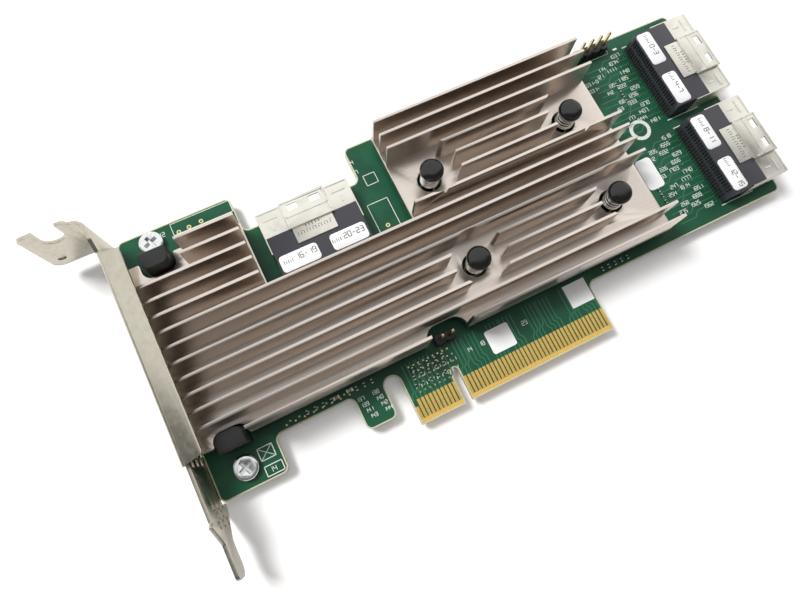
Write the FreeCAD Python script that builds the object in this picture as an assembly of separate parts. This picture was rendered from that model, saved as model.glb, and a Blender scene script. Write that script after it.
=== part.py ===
import FreeCAD
import Part
import math
import os

# Low-profile PCI Express storage controller card, lying component side up.
# Millimetres.  The origin is the centre of the key slot in the edge connector,
# on the board's contact edge and on its component surface: +X runs from the
# slot bracket to the cable sockets, +Y from the edge connector to the far long
# edge, and +Z stands out of the component side.

VECTOR = FreeCAD.Vector

# ---- circuit board -------------------------------------------------------
board_thickness = 1.57
board_left = -58.4
board_right = 97.25
board_top = 68.9
body_bottom = 12.4            # long lower edge beside the edge connector
corner_round = 1.5
inner_round = 1.6
lug_bottom = 4.2              # lower edge of the two small lugs
bracket_lug_width = 15.8
second_lug_width = 7.4
retention_slot_width = 4.05
retention_slot_top = 13.0
socket_notch_width = 30.3     # recess in the top edge for the third socket
socket_notch_depth = 9.5
socket_notch_left = -30.2

# ---- edge connector ------------------------------------------------------
tongue_left = -12.15
tongue_right = 39.15
key_half_width = 0.95
key_top = 8.5
bevel_length = 1.3
bevel_depth = 0.45
contact_pitch = 1.0
contact_width = 0.7
contact_thickness = 0.05
contact_top = 5.7
first_contact = 1.5           # from the key centre, on both sides
left_contact_count = 11
right_contact_count = 38
short_contact_top = 4.2       # the two presence contacts are cut short

# ---- fasteners -----------------------------------------------------------
screw_inset_x = 7.7           # from the board's left edge
screw_lower_inset = 4.7       # from the lower edge of the bracket lug
screw_upper_inset = 3.7       # from the board's top edge
screw_head_radius = 2.85
screw_head_height = 1.9
screw_head_round = 0.6
screw_shank_radius = 1.42
screw_length = 3.6            # under the head
screw_recess_width = 0.75
screw_recess_length = 3.2
screw_recess_depth = 1.1
screw_hole_clearance = 0.2
thread_clearance = 0.04

# ---- slot bracket --------------------------------------------------------
sheet = 0.8
bracket_gap = 0.2             # between the board's left edge and the plate
bracket_low_edge = -3.8
bracket_width = 18.4
bracket_tip_y = -10.8
bracket_above_board = 0.9     # screw tab's seat above the board's top edge
tongue_low_edge = 2.0
tongue_width = 6.4
tongue_taper_start_y = 2.8
tongue_taper_end_y = -3.5
tongue_step_y = -3.3
shoulder_y = 0.9
shoulder_width = 16.6         # across the two shoulders above the tongue
foot_width = 15.2             # of the plate between the shoulder and the flange
neck_width = 20.0             # of the plate between the flange and the screw tab
neck_flare = 2.6              # length over which it widens to the neck
neck_step = 0.8
screw_tab_low_edge = 0.3
screw_tab_width = 17.6
screw_tab_reach = 12.6        # from the plate's outer face
screw_tab_bend = 3.0          # outer radius of the bend into the tab
screw_tab_corner = 1.6        # step from the neck to the tab's full width
screw_notch_radius = 2.35
screw_notch_offset = 6.85     # notch centre from the plate's outer face
screw_notch_depth = 6.6
screw_dimple_radius = 0.9
screw_dimple_depth = 0.3
screw_dimple_inset = 2.8      # from the tab's free edge
screw_dimple_height = 3.6     # from the tab's low edge
flange_width = 4.7
flange_bend = 1.0             # outer radius of the bend into the flange
flange_above_screw = 4.8      # flange end from the lower screw's centre
flange_below_screw = 3.3      # flange end from the upper screw's centre
ear_half_width = 3.8
ear_reach = 4.6               # of the ear past the screw's centre
relief_width = 1.0
relief_depth = 1.4
vent_across = 1.8
vent_pitch = 3.5              # between vents of one row, across the plate
vent_row_pitch = 1.9
vent_rows = 32
vent_start = 0.6              # first row's place along the plate
vent_low_margin = 3.9         # lowest vent from the plate's low edge
vent_high_margin = 2.6

# ---- heat sink -----------------------------------------------------------
sink_gap = 1.9                # from the board to the underside of the base
base_thickness = 2.0
fin_height = 8.0
fin_root = 0.9
fin_tip = 0.66
fin_pitch = 3.638
first_fin_y = 15.3            # near face of the first fin
base_bottom_y = 15.2
sink_below_edge = 1.6         # from the board's top edge to the base's
sink_left_inset = 1.1         # from the board's left edge
sink_right = 63.3
fin_end_setback = 0.6
left_block_below = 8.7        # from the board's top edge
middle_clearance = 1.4        # between the base and the third socket's rear
right_block_left = 6.95
pocket_clearance = 0.6        # round the moulded blocks
pocket_round = 2.2
short_fin_setback = 2.4       # fins beside the two screw pockets
header_bay_left = -3.2
header_bay_right = 7.0
header_bay_depth = 3.6
header_bay_round = 3.1
pin_clear_radius = 6.6

# ---- push pins that hold the heat sink -----------------------------------
pin_left_x = 15.0
pin_right_x = 52.9
pin_lower_y = 27.5
pin_upper_y = 51.1
pin_board_hole = 3.1
pin_base_hole = 6.0
pin_shaft_radius = 1.35
pin_cap_radius = 2.85
pin_cap_top = 10.6
pin_cap_height = 1.9
pin_barb_radius = 1.75
pin_cap_round = 1.3
pin_barb_height = 1.9
pin_barb_tip_radius = 0.8
pin_split_width = 0.5
spring_wire = 0.45
spring_radius = 2.2
spring_turns = 4.5
spring_sections = 16          # straight lengths in each turn

# ---- cable sockets -------------------------------------------------------
socket_width = 23.2
socket_overhang = 0.2
cage_depth = 6.3
cage_wall = 0.35
cage_height = 5.5
latch_roof_half = 5.6
latch_roof_top = 6.5
flap_half = 5.0
flap_end = 10.4
side_wall_end = 10.3
port_divider = 0.5
window_offset = 2.75
window_width = 2.4
window_depth = 1.4
window_front = 1.0
socket_body_height = 5.6
socket_body_end = 15.9
card_slot_half = 4.7
card_slot_height = 1.1
card_slot_depth = 6.5
card_slot_low = 1.3
card_slot_high = 3.4
comb_pitch = 0.8
comb_groove = 0.4
comb_depth = 0.35
comb_low_height = 2.2
comb_high_start = 3.0
comb_high_end = 5.2
tail_width = 0.3
tail_height = 0.15
tail_reach = 0.9
label_margin = 0.85           # from the socket's side to the label
label_depth = 4.1
label_round = 0.9
label_thickness = 0.08
label_front = 11.5
label_gap = 3.2               # between the two labels
label_shift = 0.25            # of the gap from the socket's middle
top_socket_x = -14.95
upper_socket_y = 53.25
lower_socket_y = 27.0

# ---- pin headers ---------------------------------------------------------
header_pitch = 2.54
header_pin = 0.64
header_pin_top = 7.5
header_tail = 1.5
header_hole = 1.0
header_chamfer = 0.45
four_pin_x = 71.0
four_pin_inset = 2.0          # from the board's top edge
two_pin_x = 1.2
two_pin_inset = 3.2           # from the board's lower edge

# ---- moulded blocks beside the bracket screws ----------------------------
block_before_screw = 2.7      # left side from the screw's centre
block_width = 6.2
block_depth = 4.1
block_height = 8.2
block_round = 1.7
block_edge = 0.3
block_to_screw = 4.4          # from the screw's centre to the flat side

# ---- chips and small parts -----------------------------------------------
controller_size = 31.0
controller_substrate = 0.6
controller_lid_size = 23.0
controller_lid_height = 1.0
regulator_size = 5.0
regulator_height = 0.9
inductor_size = 4.4
inductor_height = 1.2
memory_length = 12.0
memory_width = 8.0
memory_height = 1.0
chip_length = 1.6
chip_width = 0.8
chip_height = 0.7
small_length = 1.0
small_width = 0.5
small_height = 0.4
marker_thickness = 0.08

# ---- values that follow from those above ---------------------------------
board_under = -board_thickness
bracket_lug_right = board_left + bracket_lug_width
second_lug_right = tongue_left - retention_slot_width
second_lug_left = second_lug_right - second_lug_width
socket_notch_right = socket_notch_left + socket_notch_width
socket_notch_bottom = board_top - socket_notch_depth
screw_x = board_left + screw_inset_x
screw_lower_y = lug_bottom + screw_lower_inset
screw_upper_y = board_top - screw_upper_inset
bracket_high_edge = bracket_low_edge + bracket_width
foot_high_edge = bracket_low_edge + foot_width
shoulder_high_edge = bracket_low_edge + shoulder_width
neck_high_edge = bracket_low_edge + neck_width
bracket_top_y = board_top + bracket_above_board
tongue_high_edge = tongue_low_edge + tongue_width
screw_tab_high_edge = screw_tab_low_edge + screw_tab_width
flange_bottom_y = screw_lower_y + flange_above_screw
flange_top_y = screw_upper_y - flange_below_screw
block_left = screw_x - block_before_screw
block_right = block_left + block_width
sink_left = board_left + sink_left_inset
base_top_y = board_top - sink_below_edge
# as many fins as the base has room for
fin_count = int((base_top_y - first_fin_y - fin_root) / fin_pitch) + 1
left_block_right = socket_notch_left
left_block_top_y = board_top - left_block_below
middle_top_y = socket_notch_bottom - socket_body_end - middle_clearance
pocket_left = block_left - 2 * pocket_clearance
pocket_right = block_right + pocket_clearance
lower_pocket_top = screw_lower_y + block_to_screw + block_depth + pocket_clearance
upper_pocket_bottom = screw_upper_y - block_to_screw - block_depth - pocket_clearance
short_fin_left = pocket_right + short_fin_setback
header_bay_top = base_bottom_y + header_bay_depth
pin_barb_bottom = bracket_low_edge
four_pin_y = board_top - four_pin_inset
two_pin_y = body_bottom + two_pin_inset
sink_top = sink_gap + base_thickness
fin_top = sink_top + fin_height
plate_inner_x = board_left - bracket_gap
plate_outer_x = plate_inner_x - sheet
pin_places = [(x, y) for y in (pin_lower_y, pin_upper_y)
              for x in (pin_left_x, pin_right_x)]
screw_places = [(screw_x, screw_lower_y), (screw_x, screw_upper_y)]
controller_x = (pin_left_x + pin_right_x) / 2
controller_y = (pin_lower_y + pin_upper_y) / 2


# ---- building helpers ----------------------------------------------------
def box(x0, x1, y0, y1, z0, z1):
    return Part.makeBox(x1 - x0, y1 - y0, z1 - z0, VECTOR(x0, y0, z0))


def cylinder(x, y, z0, z1, radius):
    return Part.makeCylinder(radius, z1 - z0, VECTOR(x, y, z0))


def rounded_outline(corners):
    """Closed outline in the XY plane through corners of (x, y, radius)."""
    edges = []
    first = None
    last = None
    count = len(corners)
    for index in range(count):
        x, y, radius = corners[index]
        corner = VECTOR(x, y, 0)
        before = VECTOR(*corners[index - 1][:2], 0)
        after = VECTOR(*corners[(index + 1) % count][:2], 0)
        to_before = (before - corner).normalize()
        to_after = (after - corner).normalize()
        half = to_before.getAngle(to_after) / 2
        reach = radius / math.tan(half)
        start = corner + to_before * reach
        end = corner + to_after * reach
        if last is not None and (start - last).Length > 1e-7:
            edges.append(Part.LineSegment(last, start).toShape())
        if first is None:
            first = start
        if radius > 0:
            inward = (to_before + to_after).normalize()
            middle = corner + inward * (radius / math.sin(half) - radius)
            edges.append(Part.Arc(start, middle, end).toShape())
        last = end
    if (first - last).Length > 1e-7:
        edges.append(Part.LineSegment(last, first).toShape())
    return Part.Wire(edges)


def plate(corners, z0, z1):
    face = Part.Face(rounded_outline(corners))
    face.translate(VECTOR(0, 0, z0))
    return face.extrude(VECTOR(0, 0, z1 - z0))


def rounded_box(x0, x1, y0, y1, z0, z1, radius):
    corners = [(x0, y0, radius), (x1, y0, radius), (x1, y1, radius), (x0, y1, radius)]
    return plate(corners, z0, z1)


def fuse(shapes):
    whole = shapes[0]
    if len(shapes) > 1:
        whole = whole.multiFuse(shapes[1:])
    return whole.removeSplitter()


def cut(shape, tools):
    return shape.cut(Part.makeCompound(tools)).removeSplitter()


def write(name, shapes):
    if len(shapes) == 1:
        shapes[0].exportStep("parts/" + name + ".step")
    else:
        Part.makeCompound(shapes).exportStep("parts/" + name + ".step")


# ---- circuit board and its edge contacts ---------------------------------
def board():
    slot_round = retention_slot_width / 2 - 0.01
    key_round = key_half_width - 0.01
    corners = [
        (board_left, lug_bottom, corner_round),
        (bracket_lug_right, lug_bottom, corner_round),
        (bracket_lug_right, body_bottom, inner_round),
        (second_lug_left, body_bottom, inner_round),
        (second_lug_left, lug_bottom, corner_round),
        (second_lug_right, lug_bottom, corner_round),
        (second_lug_right, retention_slot_top, slot_round),
        (tongue_left, retention_slot_top, slot_round),
        (tongue_left, 0, 0),
        (-key_half_width, 0, 0),
        (-key_half_width, key_top, key_round),
        (key_half_width, key_top, key_round),
        (key_half_width, 0, 0),
        (tongue_right, 0, 0),
        (tongue_right, body_bottom, inner_round),
        (board_right, body_bottom, corner_round),
        (board_right, board_top, corner_round),
        (socket_notch_right, board_top, corner_round),
        (socket_notch_right, socket_notch_bottom, inner_round),
        (socket_notch_left, socket_notch_bottom, inner_round),
        (socket_notch_left, board_top, corner_round),
        (board_left, board_top, corner_round),
    ]
    panel = plate(corners, board_under, 0)
    holes = []
    for x, y in screw_places:
        radius = screw_shank_radius + screw_hole_clearance
        holes.append(cylinder(x, y, board_under, 0, radius))
    for x, y in pin_places:
        holes.append(cylinder(x, y, board_under, 0, pin_board_hole / 2))
    for x, y in header_places(four_pin_x, four_pin_y, 4):
        holes.append(cylinder(x, y, board_under, 0, header_hole / 2))
    for x, y in header_places(two_pin_x, two_pin_y, 2):
        holes.append(cylinder(x, y, board_under, 0, header_hole / 2))
    return cut(panel, holes + contact_edge_bevels())


def contact_edge_bevels():
    """Wedges that take both faces of the contact edge down to a bevel."""
    wedges = []
    for face, inside in ((0, -bevel_depth), (board_under, board_under + bevel_depth)):
        points = [
            VECTOR(tongue_left, 0, inside),
            VECTOR(tongue_left, 0, face),
            VECTOR(tongue_left, bevel_length, face),
        ]
        triangle = Part.Face(Part.makePolygon(points + points[:1]))
        wedges.append(triangle.extrude(VECTOR(tongue_right - tongue_left, 0, 0)))
    return wedges


def edge_contacts(z0, z1, short_one):
    """One row of contact strips; short_one is the presence contact's number."""
    centres = [-first_contact - contact_pitch * n for n in range(left_contact_count)][::-1]
    centres += [first_contact + contact_pitch * n for n in range(right_contact_count)]
    strips = []
    for number, x in enumerate(centres):
        top = short_contact_top if number == short_one else contact_top
        half = contact_width / 2
        strips.append(box(x - half, x + half, bevel_length, top, z0, z1))
    return strips


# ---- slot bracket and its screws -----------------------------------------
def bracket():
    bend_y = bracket_top_y - screw_tab_bend
    outline = [
        (bracket_tip_y, tongue_low_edge, 2.4),
        (tongue_taper_end_y, tongue_low_edge, 2.0),
        (tongue_taper_start_y, bracket_low_edge, 2.0),
        (bend_y - neck_step, bracket_low_edge, 0.3),
        (bend_y, screw_tab_low_edge, 0),
        (bend_y, neck_high_edge, 0),
        (flange_top_y + neck_flare, neck_high_edge, 1.0),
        (flange_top_y, bracket_high_edge, 0),
        (flange_bottom_y, bracket_high_edge, 0),
        (flange_bottom_y, foot_high_edge, 0.5),
        (shoulder_y + sheet, foot_high_edge, 0.3),
        (shoulder_y, shoulder_high_edge, 0.2),
        (tongue_step_y, tongue_high_edge, 0.6),
        (bracket_tip_y, tongue_high_edge, 1.2),
    ]
    front = plate(outline, 0, sheet)
    # the outline was drawn flat; this stands it up, X to Y and Y to Z
    front.rotate(VECTOR(0, 0, 0), VECTOR(1, 1, 1), 120)
    front.translate(VECTOR(plate_outer_x, 0, 0))
    flange_low_z = bracket_high_edge - sheet
    flange_right = plate_outer_x + flange_width
    flange = plate([
        (plate_outer_x, flange_bottom_y, 0),
        (flange_right, flange_bottom_y + sheet, 0.8),
        (flange_right, flange_top_y - sheet, 0.8),
        (plate_outer_x, flange_top_y, 0),
    ], flange_low_z, bracket_high_edge)
    solid = fuse([front, flange, tab_bend(), screw_tab()] + bracket_ears())
    return cut(solid, bracket_cuts() + [flange_corner()])


def tab_bend():
    """Bend that carries the plate's sheet round into the screw tab."""
    centre_x = plate_inner_x - screw_tab_bend
    centre_y = bracket_top_y - screw_tab_bend
    low = screw_tab_low_edge
    high = neck_high_edge
    outer = cylinder(centre_x, centre_y, low, high, screw_tab_bend)
    inner = cylinder(centre_x, centre_y, low, high, screw_tab_bend - sheet)
    quadrant = box(centre_x, plate_inner_x, centre_y, bracket_top_y, low, high)
    return outer.cut(inner).common(quadrant)


def flange_corner():
    """What the bend takes off the square corner between plate and flange."""
    centre_x = plate_outer_x + flange_bend
    centre_z = bracket_high_edge - flange_bend
    corner = box(plate_outer_x, centre_x, flange_bottom_y, flange_top_y,
                 centre_z, bracket_high_edge)
    length = flange_top_y - flange_bottom_y
    rod = Part.makeCylinder(flange_bend, length, VECTOR(centre_x, flange_bottom_y, centre_z),
                            VECTOR(0, 1, 0))
    return corner.cut(rod)


def screw_tab():
    """Tab at the bracket's top, turned outwards, with an open screw notch."""
    left = plate_outer_x - screw_tab_reach
    right = plate_inner_x - screw_tab_bend
    notch_x = plate_outer_x - screw_notch_offset
    low = screw_tab_low_edge
    high = screw_tab_high_edge
    seat = high - screw_notch_depth + screw_notch_radius
    outline = [
        (left, low, 2.5),
        (right, low, 0),
        (right, neck_high_edge, 0),
        (right - screw_tab_corner / 2, high, 0.8),
        (left, high, 1.0),
    ]
    flat = plate(outline, 0, sheet)
    notch = cylinder(notch_x, seat, 0, sheet, screw_notch_radius)
    mouth = box(notch_x - screw_notch_radius, notch_x + screw_notch_radius, seat, high + 1, 0, sheet)
    dimple = cylinder(left + screw_dimple_inset, low + screw_dimple_height,
                      sheet - screw_dimple_depth, sheet, screw_dimple_radius)
    flat = cut(flat, [notch, mouth, dimple])
    flat.rotate(VECTOR(0, 0, 0), VECTOR(1, 0, 0), 90)
    flat.translate(VECTOR(0, bracket_top_y, 0))
    return flat


def bracket_ears():
    """Ears folded under the board, one for each bracket screw."""
    ears = []
    for x, y in screw_places:
        outline = [
            (plate_outer_x, y - ear_half_width, 0),
            (x + ear_reach, y - ear_half_width, 1.5),
            (x + ear_reach, y + ear_half_width, 1.5),
            (plate_outer_x, y + ear_half_width, 0),
        ]
        ears.append(plate(outline, board_under - sheet, board_under))
    return ears


def bracket_cuts():
    tools = []
    for x, y in screw_places:
        radius = screw_shank_radius + thread_clearance
        tools.append(cylinder(x, y, board_under - sheet, board_under, radius))
        # the ear is folded out of the plate's lower edge, between two reliefs
        below = box(plate_outer_x, plate_inner_x, y - ear_half_width, y + ear_half_width,
                    bracket_low_edge, board_under - sheet)
        tools.append(below)
        for side in (-1, 1):
            inner = y + side * ear_half_width
            outer = inner + side * relief_width
            tools.append(box(plate_outer_x, plate_inner_x, min(inner, outer), max(inner, outer),
                             bracket_low_edge, board_under - sheet + relief_depth))
    return tools + vents()


def vents():
    """Six-sided air holes in staggered rows through the bracket's plate."""
    holes = []
    radius = vent_across / math.sqrt(3)
    for row_number in range(vent_rows):
        y = vent_start + row_number * vent_row_pitch
        beside_ear = any(abs(y - ear_y) < ear_half_width + relief_width + vent_across / 2 - 1.4
                         for _, ear_y in screw_places)
        if beside_ear:
            continue
        high = foot_high_edge if y < flange_bottom_y else bracket_high_edge
        z = bracket_low_edge + vent_low_margin
        if row_number % 2:
            z += vent_pitch / 2
        while z < high - vent_high_margin:
            corners = [VECTOR(plate_outer_x, y + radius * math.sin(turn), z + radius * math.cos(turn))
                       for turn in [math.radians(60 * n + 30) for n in range(6)]]
            face = Part.Face(Part.makePolygon(corners + corners[:1]))
            holes.append(face.extrude(VECTOR(sheet, 0, 0)))
            z += vent_pitch
    return holes


def bracket_screw(x, y):
    head = cylinder(x, y, 0, screw_head_height, screw_head_radius)
    rim = [edge for edge in head.Edges
           if abs(edge.BoundBox.ZMin - screw_head_height) < 1e-6 and edge.Closed]
    head = head.makeFillet(screw_head_round, rim)
    shank = cylinder(x, y, -screw_length, 0, screw_shank_radius)
    half_long = screw_recess_length / 2
    half_wide = screw_recess_width / 2
    floor = screw_head_height - screw_recess_depth
    bars = [
        box(x - half_long, x + half_long, y - half_wide, y + half_wide, floor, screw_head_height),
        box(x - half_wide, x + half_wide, y - half_long, y + half_long, floor, screw_head_height),
    ]
    recess = fuse(bars)
    recess.rotate(VECTOR(x, y, 0), VECTOR(0, 0, 1), 24)
    return cut(fuse([head, shank]), [recess])


# ---- heat sink -----------------------------------------------------------
def heat_sink():
    corners = [
        (sink_left, base_bottom_y, 0.4),
        (pocket_left, base_bottom_y, 0.4),
        (pocket_left, lower_pocket_top, pocket_round),
        (pocket_right, lower_pocket_top, pocket_round),
        (pocket_right, base_bottom_y, 0.4),
        (header_bay_left, base_bottom_y, 0.4),
        (header_bay_left, header_bay_top, header_bay_round),
        (header_bay_right, header_bay_top, header_bay_round),
        (header_bay_right, base_bottom_y, 0.4),
        (sink_right, base_bottom_y, 0.4),
        (sink_right, base_top_y, 0.4),
        (right_block_left, base_top_y, 0.4),
        (right_block_left, middle_top_y, 1.0),
        (left_block_right, middle_top_y, 1.0),
        (left_block_right, left_block_top_y, 0.4),
        (pocket_right, left_block_top_y, 0.4),
        (pocket_right, upper_pocket_bottom, pocket_round),
        (pocket_left, upper_pocket_bottom, pocket_round),
        (pocket_left, left_block_top_y, 0.4),
        (sink_left, left_block_top_y, 0.4),
    ]
    base = plate(corners, sink_gap, sink_top)
    fins = [fin(number, x0, x1) for number, x0, x1 in fin_spans()]
    holes = []
    for x, y in pin_places:
        holes.append(cylinder(x, y, sink_gap, sink_top, pin_base_hole / 2))
        holes.append(cylinder(x, y, sink_top, fin_top, pin_clear_radius))
    bay = rounded_box(header_bay_left, header_bay_right, base_bottom_y - header_bay_round * 2,
                      header_bay_top, sink_gap, fin_top, header_bay_round)
    return cut(fuse([base] + fins), holes + [bay])


def fin_spans():
    """Each straight stretch of fin, as (fin number, left end, right end)."""
    left = sink_left + fin_end_setback / 2
    right = sink_right - fin_end_setback
    spans = []
    for number in range(fin_count):
        near = first_fin_y + number * fin_pitch
        far = near + fin_root
        beside_lower_pins = abs((near + far) / 2 - pin_lower_y) < pin_clear_radius - 1.0
        beside_upper_pins = abs((near + far) / 2 - pin_upper_y) < pin_clear_radius - 1.0
        right_start = right_block_left + fin_end_setback / 2
        right_end = pin_right_x if beside_lower_pins or beside_upper_pins else right
        if far < middle_top_y:
            start = left if near > lower_pocket_top else pocket_right + fin_end_setback
            spans.append((number, start, right_end))
            continue
        if far < left_block_top_y:
            start = left if far + fin_pitch / 2 < upper_pocket_bottom else short_fin_left
            spans.append((number, start, left_block_right - fin_end_setback / 2))
        if beside_upper_pins:
            right_start = pin_left_x
        spans.append((number, right_start, right_end))
    return spans


def fin(number, x0, x1):
    """One fin: a thin wall, a little thinner at its tip than at its root."""
    near = first_fin_y + number * fin_pitch
    inset = (fin_root - fin_tip) / 2
    foot = sink_top - 0.2
    points = [
        VECTOR(x0, near, foot),
        VECTOR(x0, near + fin_root, foot),
        VECTOR(x0, near + fin_root - inset, fin_top),
        VECTOR(x0, near + inset, fin_top),
    ]
    section = Part.Face(Part.makePolygon(points + points[:1]))
    return section.extrude(VECTOR(x1 - x0, 0, 0))


# ---- spring-loaded push pins ---------------------------------------------
def push_pin(x, y):
    """Nylon pin: domed cap, shaft, and a split barb under the board."""
    cap_low = pin_cap_top - pin_cap_height
    cap = cylinder(0, 0, cap_low, pin_cap_top, pin_cap_radius)
    rim = [edge for edge in cap.Edges
           if edge.Closed and abs(edge.BoundBox.ZMin - pin_cap_top) < 1e-6]
    cap = cap.makeFillet(pin_cap_round, rim)
    shaft = cylinder(0, 0, pin_barb_bottom + pin_barb_height / 2, cap_low, pin_shaft_radius)
    barb = Part.makeCone(pin_barb_tip_radius, pin_barb_radius, pin_barb_height,
                         VECTOR(0, 0, pin_barb_bottom))
    body = fuse([cap, shaft, barb])
    split = box(-pin_barb_radius, pin_barb_radius, -pin_split_width / 2, pin_split_width / 2,
                pin_barb_bottom, board_under + 0.5)
    body = cut(body, [split])
    body.translate(VECTOR(x, y, 0))
    return body


def pin_spring(x, y):
    """Coil spring round the shaft, from the base up to the pin's cap."""
    wire_radius = spring_wire / 2
    low = sink_top + wire_radius
    high = pin_cap_top - pin_cap_height - wire_radius
    steps = int(spring_turns * spring_sections)
    rings = []
    for step in range(steps + 1):
        turn = 2 * math.pi * step / spring_sections
        centre = VECTOR(x + spring_radius * math.cos(turn), y + spring_radius * math.sin(turn),
                        low + (high - low) * step / steps)
        along = VECTOR(-math.sin(turn), math.cos(turn), 0)
        rings.append(Part.Wire(Part.makeCircle(wire_radius, centre, along)))
    return Part.makeLoft(rings, True, True)


# ---- cable sockets -------------------------------------------------------
# Each is drawn facing +Y, with y = 0 on the board's edge, then put in place.
def place_socket(shape, spot):
    x, y, turn = spot
    shape = shape.copy()
    shape.rotate(VECTOR(0, 0, 0), VECTOR(0, 0, 1), turn)
    shape.translate(VECTOR(x, y, 0))
    return shape


SOCKETS = {
    "top": (top_socket_x, socket_notch_bottom, 0),
    "upper": (board_right, upper_socket_y, -90),
    "lower": (board_right, lower_socket_y, -90),
}


def socket_cage():
    """Plated cage: two low roofs, a raised latch roof and a flap behind it."""
    half = socket_width / 2
    front = socket_overhang
    back = -cage_depth
    wall = cage_wall
    low_roof = cage_height - wall
    latch_roof = latch_roof_top - wall
    pieces = [
        box(-half, half, back, front, 0, wall),
        box(-half, -half + wall, -side_wall_end, front, 0, cage_height),
        box(half - wall, half, -side_wall_end, front, 0, cage_height),
        box(-half, -latch_roof_half + wall, back, front, low_roof, cage_height),
        box(latch_roof_half - wall, half, back, front, low_roof, cage_height),
        box(-latch_roof_half, latch_roof_half, back - wall, front, latch_roof, latch_roof_top),
        box(-latch_roof_half, -latch_roof_half + wall, back, front, low_roof, latch_roof_top),
        box(latch_roof_half - wall, latch_roof_half, back, front, low_roof, latch_roof_top),
        box(-port_divider / 2, port_divider / 2, back, front, 0, latch_roof_top),
        box(-flap_half, flap_half, back - wall, back, socket_body_height, latch_roof_top),
        box(-flap_half, flap_half, -flap_end, back, socket_body_height, socket_body_height + wall),
    ]
    windows = []
    for side in (-1, 1):
        middle = side * window_offset
        windows.append(box(middle - window_width / 2, middle + window_width / 2,
                           -window_front - window_depth, -window_front, latch_roof, latch_roof_top))
    return cut(fuse(pieces), windows)


def socket_body():
    """Black moulding behind the cage, with card slots and a ribbed rear."""
    half = socket_width / 2 - cage_wall
    body = box(-half, half, -socket_body_end, -cage_depth, 0, socket_body_height)
    tools = []
    for side in (-1, 1):
        middle = side * socket_width / 4
        for low in (card_slot_low, card_slot_high):
            tools.append(box(middle - card_slot_half, middle + card_slot_half,
                             -cage_depth - card_slot_depth, -cage_depth, low, low + card_slot_height))
    for x in comb_places():
        for low, high in ((0, comb_low_height), (comb_high_start, comb_high_end)):
            tools.append(box(x - comb_groove / 2, x + comb_groove / 2,
                             -socket_body_end, -socket_body_end + comb_depth, low, high))
    return cut(body, tools)


def comb_places():
    half = socket_width / 2 - 1.6
    count = int(2 * half / comb_pitch)
    start = -(count - 1) * comb_pitch / 2
    return [start + n * comb_pitch for n in range(count)]


def socket_tails():
    """Solder tails that leave the grooves at the foot of the rear face."""
    tails = []
    for x in comb_places():
        tails.append(box(x - tail_width / 2, x + tail_width / 2, -socket_body_end - tail_reach,
                         -socket_body_end + comb_depth, 0, tail_height))
    return tails


def socket_labels():
    labels = []
    outer = socket_width / 2 - label_margin
    for x0, x1 in ((-outer, label_shift - label_gap / 2), (label_shift + label_gap / 2, outer)):
        labels.append(rounded_box(x0, x1, -label_front - label_depth, -label_front,
                                  socket_body_height, socket_body_height + label_thickness, label_round))
    return labels


# ---- pin headers ---------------------------------------------------------
def header_places(x, y, count):
    first = x - header_pitch * (count - 1) / 2
    return [(first + header_pitch * n, y) for n in range(count)]


def header_body(x, y, count):
    cells = []
    half = header_pitch / 2
    for px, py in header_places(x, y, count):
        cells.append(plate([
            (px - half, py - half + header_chamfer, 0), (px - half + header_chamfer, py - half, 0),
            (px + half - header_chamfer, py - half, 0), (px + half, py - half + header_chamfer, 0),
            (px + half, py + half - header_chamfer, 0), (px + half - header_chamfer, py + half, 0),
            (px - half + header_chamfer, py + half, 0), (px - half, py + half - header_chamfer, 0),
        ], 0, header_pitch))
    half_pin = header_pin / 2
    holes = [box(px - half_pin, px + half_pin, py - half_pin, py + half_pin, 0, header_pitch)
             for px, py in header_places(x, y, count)]
    return cut(fuse(cells), holes)


def header_pins(x, y, count):
    pins = []
    half = header_pin / 2
    point = header_pin * 0.25
    for px, py in header_places(x, y, count):
        pin = box(px - half, px + half, py - half, py + half, board_under - header_tail, header_pin_top)
        tips = [edge for edge in pin.Edges
                if edge.BoundBox.ZMax - edge.BoundBox.ZMin < 1e-6]
        pins.append(pin.makeChamfer(point, tips))
    return pins


# ---- moulded blocks ------------------------------------------------------
def support_block(screw_y, side):
    """Black block; its flat side faces the screw, its round side the fins."""
    flat = screw_y + side * block_to_screw
    far = flat + side * block_depth
    corners = [
        (block_left, flat, 0.3),
        (block_right, flat, 0.3),
        (block_right, far, block_round),
        (block_left, far, block_round),
    ]
    if side < 0:
        corners = corners[::-1]
    body = plate(corners, 0, block_height)
    crown = [edge for edge in body.Edges if edge.BoundBox.ZMin > block_height - 1e-6]
    return body.makeFillet(block_edge, crown)


# ---- chips, pads and small parts -----------------------------------------
def square_part(x, y, size, z0, z1, radius=0.2):
    half = size / 2
    return rounded_box(x - half, x + half, y - half, y + half, z0, z1, radius)


def small_part(x, y, length, width, height, along_x=True, under=False):
    half_x, half_y = (length / 2, width / 2) if along_x else (width / 2, length / 2)
    z0, z1 = (board_under - height, board_under) if under else (0, height)
    return box(x - half_x, x + half_x, y - half_y, y + half_y, z0, z1)


def row(x, y, count, step_x, step_y):
    return [(x + n * step_x, y + n * step_y) for n in range(count)]


REGULATORS = row(-50.0, 27.0, 4, 9.5, 0)
INDUCTORS = row(-50.0, 34.5, 4, 9.5, 0)
MEMORIES = [(-40.0, 50.5), (-12.0, 36.0), (-12.0, 24.5)]


def regulator_pad(x, y):
    return square_part(x, y, regulator_size, regulator_height, sink_gap)


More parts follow.
